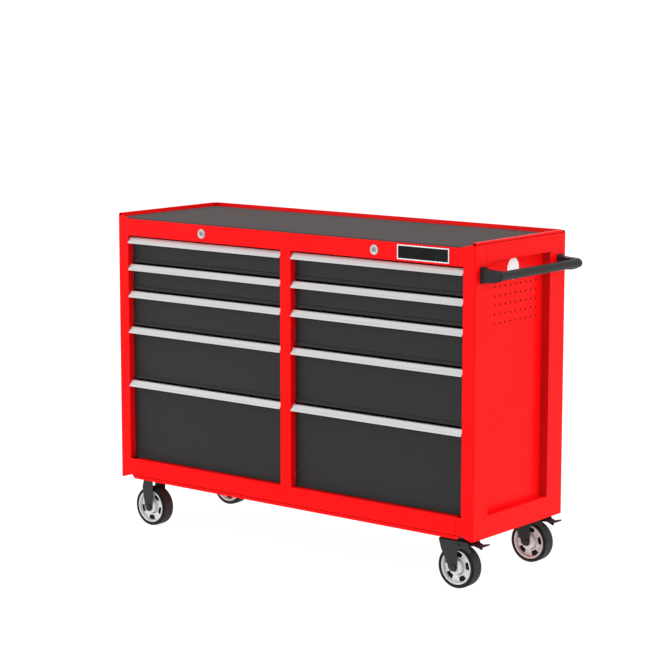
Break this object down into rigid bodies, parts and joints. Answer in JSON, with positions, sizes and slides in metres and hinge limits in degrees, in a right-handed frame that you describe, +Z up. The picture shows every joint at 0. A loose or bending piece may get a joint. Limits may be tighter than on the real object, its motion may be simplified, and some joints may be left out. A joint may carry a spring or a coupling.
{
  "type": "rolling tool chest",
  "caption": "Wide steel tool chest with two banks of drawers, full-width pulls, side handle, peg-holed side recess and matted top, on rigid and braked swivel casters.",
  "frame": {"origin": "on the floor, under the middle of the bounding box of the closed chest, its side handle included", "axes": "+X along the front towards the side handle, on the right of someone facing the drawers; +Y from the drawer fronts to the back; +Z up"},
  "size_m": [1.377, 0.443, 0.9526],
  "materials": {
    "red_paint": "glossy red powder coat",
    "charcoal_paint": "satin charcoal powder coat",
    "pull_aluminium": "satin anodised extrusion",
    "slide_steel": "bright zinc plate",
    "lock_silver": "polished plate",
    "black_paint": "satin black powder coat",
    "mat_rubber": "matt ribbed mat",
    "hub_grey": "moulded light grey",
    "tyre_rubber": "matt black rubber",
    "zinc_steel": "dull zinc plate"
  },
  "bodies": {
    "cabinet": {"corner_post_left": "red_paint", "corner_post_right": "red_paint", "side_panel_left": "red_paint", "side_panel_right": "red_paint", "back_panel": "red_paint", "top_tray": "red_paint", "top_mat": "mat_rubber", "header_rail": "red_paint", "bottom_rail": "red_paint", "centre_post": "red_paint", "centre_divider": "red_paint", "bottom_pan": "red_paint", "slide_rack_left_outer": "slide_steel", "slide_rack_left_inner": "slide_steel", "slide_rack_right_inner": "slide_steel", "slide_rack_right_outer": "slide_steel", "lock_housing_left": "lock_silver", "lock_housing_right": "lock_silver", "badge_plate": "black_paint", "handle_bar": "black_paint", "handle_bracket_front": "black_paint", "handle_bracket_rear": "black_paint", "caster_bracket_left_front": "black_paint", "caster_bracket_left_rear": "black_paint", "caster_plate_right_front": "zinc_steel", "caster_plate_right_rear": "zinc_steel"},
    "left_drawer_1": {"drawer_left_1": "charcoal_paint", "pull_left_1": "pull_aluminium"},
    "left_drawer_2": {"drawer_left_2": "charcoal_paint", "pull_left_2": "pull_aluminium"},
    "left_drawer_3": {"drawer_left_3": "charcoal_paint", "pull_left_3": "pull_aluminium"},
    "left_drawer_4": {"drawer_left_4": "charcoal_paint", "pull_left_4": "pull_aluminium"},
    "left_drawer_5": {"drawer_left_5": "charcoal_paint", "pull_left_5": "pull_aluminium"},
    "right_drawer_1": {"drawer_right_1": "charcoal_paint", "pull_right_1": "pull_aluminium"},
    "right_drawer_2": {"drawer_right_2": "charcoal_paint", "pull_right_2": "pull_aluminium"},
    "right_drawer_3": {"drawer_right_3": "charcoal_paint", "pull_right_3": "pull_aluminium"},
    "right_drawer_4": {"drawer_right_4": "charcoal_paint", "pull_right_4": "pull_aluminium"},
    "right_drawer_5": {"drawer_right_5": "charcoal_paint", "pull_right_5": "pull_aluminium"},
    "left_plug": {"lock_plug_left": "lock_silver"},
    "right_plug": {"lock_plug_right": "lock_silver"},
    "rigid_wheel_front": {"wheel_hub_left_front": "hub_grey", "wheel_tyre_left_front": "tyre_rubber"},
    "rigid_wheel_rear": {"wheel_hub_left_rear": "hub_grey", "wheel_tyre_left_rear": "tyre_rubber"},
    "swivel_front": {"caster_fork_right_front": "black_paint"},
    "swivel_wheel_front": {"wheel_hub_right_front": "hub_grey", "wheel_tyre_right_front": "tyre_rubber"},
    "pedal_front": {"brake_pedal_front": "black_paint"},
    "swivel_rear": {"caster_fork_right_rear": "black_paint"},
    "swivel_wheel_rear": {"wheel_hub_right_rear": "hub_grey", "wheel_tyre_right_rear": "tyre_rubber"},
    "pedal_rear": {"brake_pedal_rear": "black_paint"}
  },
  "joints": [
    {"name": "left_drawer_1_slide", "type": "slide", "parent": "cabinet", "child": "left_drawer_1", "axis": [0, -1, 0], "range_m": [0, 0.3]},
    {"name": "left_drawer_2_slide", "type": "slide", "parent": "cabinet", "child": "left_drawer_2", "axis": [0, -1, 0], "range_m": [0, 0.3]},
    {"name": "left_drawer_3_slide", "type": "slide", "parent": "cabinet", "child": "left_drawer_3", "axis": [0, -1, 0], "range_m": [0, 0.3]},
    {"name": "left_drawer_4_slide", "type": "slide", "parent": "cabinet", "child": "left_drawer_4", "axis": [0, -1, 0], "range_m": [0, 0.3]},
    {"name": "left_drawer_5_slide", "type": "slide", "parent": "cabinet", "child": "left_drawer_5", "axis": [0, -1, 0], "range_m": [0, 0.3]},
    {"name": "right_drawer_1_slide", "type": "slide", "parent": "cabinet", "child": "right_drawer_1", "axis": [0, -1, 0], "range_m": [0, 0.3]},
    {"name": "right_drawer_2_slide", "type": "slide", "parent": "cabinet", "child": "right_drawer_2", "axis": [0, -1, 0], "range_m": [0, 0.3]},
    {"name": "right_drawer_3_slide", "type": "slide", "parent": "cabinet", "child": "right_drawer_3", "axis": [0, -1, 0], "range_m": [0, 0.3]},
    {"name": "right_drawer_4_slide", "type": "slide", "parent": "cabinet", "child": "right_drawer_4", "axis": [0, -1, 0], "range_m": [0, 0.3]},
    {"name": "right_drawer_5_slide", "type": "slide", "parent": "cabinet", "child": "right_drawer_5", "axis": [0, -1, 0], "range_m": [0, 0.3]},
    {"name": "left_lock_turn", "type": "hinge", "parent": "cabinet", "child": "left_plug", "pos_m": [-0.3523, -0.2185, 0.911], "axis": [0, 1, 0], "range_deg": [0, 90]},
    {"name": "right_lock_turn", "type": "hinge", "parent": "cabinet", "child": "right_plug", "pos_m": [0.2813, -0.2185, 0.911], "axis": [0, 1, 0], "range_deg": [0, 90]},
    {"name": "rigid_wheel_front_spin", "type": "hinge", "parent": "cabinet", "child": "rigid_wheel_front", "pos_m": [-0.5903, -0.1769, 0.0594], "axis": [0, 1, 0], "continuous": true},
    {"name": "rigid_wheel_rear_spin", "type": "hinge", "parent": "cabinet", "child": "rigid_wheel_rear", "pos_m": [-0.5903, 0.1793, 0.0594], "axis": [0, 1, 0], "continuous": true},
    {"name": "swivel_front_turn", "type": "hinge", "parent": "cabinet", "child": "swivel_front", "pos_m": [0.5193, -0.1769, 0.143], "axis": [0, 0, 1], "continuous": true},
    {"name": "swivel_wheel_front_spin", "type": "hinge", "parent": "swivel_front", "child": "swivel_wheel_front", "pos_m": [0.5474, -0.1769, 0.0594], "axis": [0, 1, 0], "continuous": true},
    {"name": "brake_pedal_front_press", "type": "hinge", "parent": "swivel_front", "child": "pedal_front", "pos_m": [0.5653, -0.1769, 0.126], "axis": [0, 1, 0], "range_deg": [0, 14]},
    {"name": "swivel_rear_turn", "type": "hinge", "parent": "cabinet", "child": "swivel_rear", "pos_m": [0.5193, 0.1793, 0.143], "axis": [0, 0, 1], "continuous": true},
    {"name": "swivel_wheel_rear_spin", "type": "hinge", "parent": "swivel_rear", "child": "swivel_wheel_rear", "pos_m": [0.5474, 0.1793, 0.0594], "axis": [0, 1, 0], "continuous": true},
    {"name": "brake_pedal_rear_press", "type": "hinge", "parent": "swivel_rear", "child": "pedal_rear", "pos_m": [0.5653, 0.1793, 0.126], "axis": [0, 1, 0], "range_deg": [0, 14]}
  ]
}
